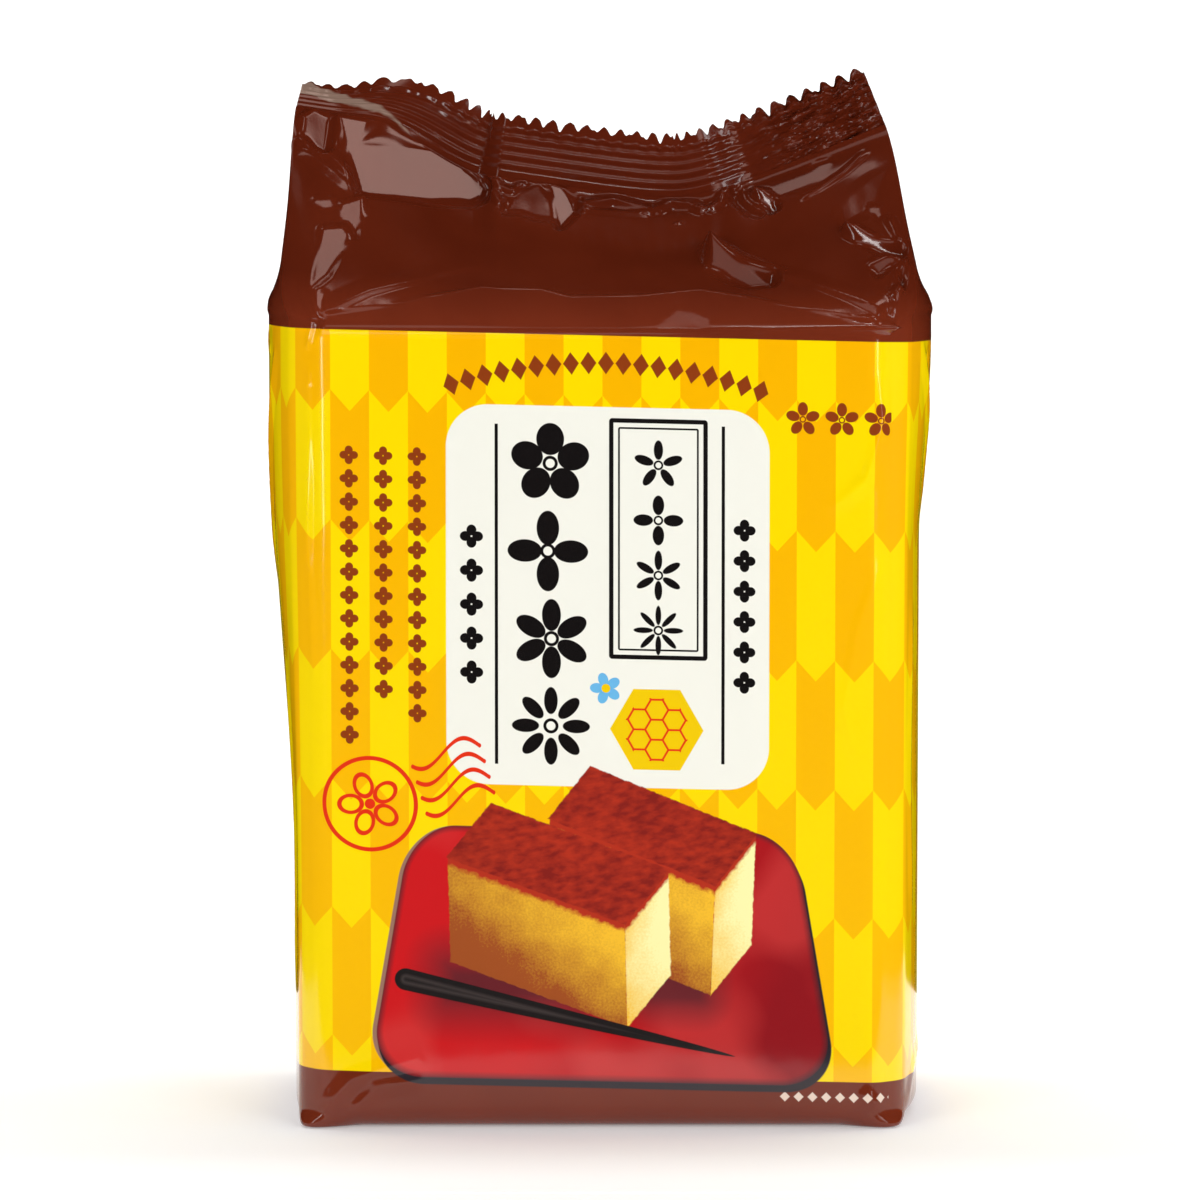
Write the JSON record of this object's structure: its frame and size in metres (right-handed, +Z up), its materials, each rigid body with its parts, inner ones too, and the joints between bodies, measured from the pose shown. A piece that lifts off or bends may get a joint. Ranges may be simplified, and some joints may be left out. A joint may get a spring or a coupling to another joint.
{
  "type": "sealed pack of castella cake",
  "caption": "Shut film pack of sliced castella cake, standing on its flat base, with a gabled top, side gussets and a toothed crimped seal.",
  "frame": {"origin": "middle of the base, on the surface that the pack stands on", "axes": "+Z up, +X across the front panel to the viewer's right, -Y out of the front panel"},
  "size_m": [0.1152, 0.0636, 0.1806],
  "materials": {
    "film": "glossy printed film"
  },
  "bodies": {
    "root": {"castella_pack": "film"}
  },
  "joints": []
}
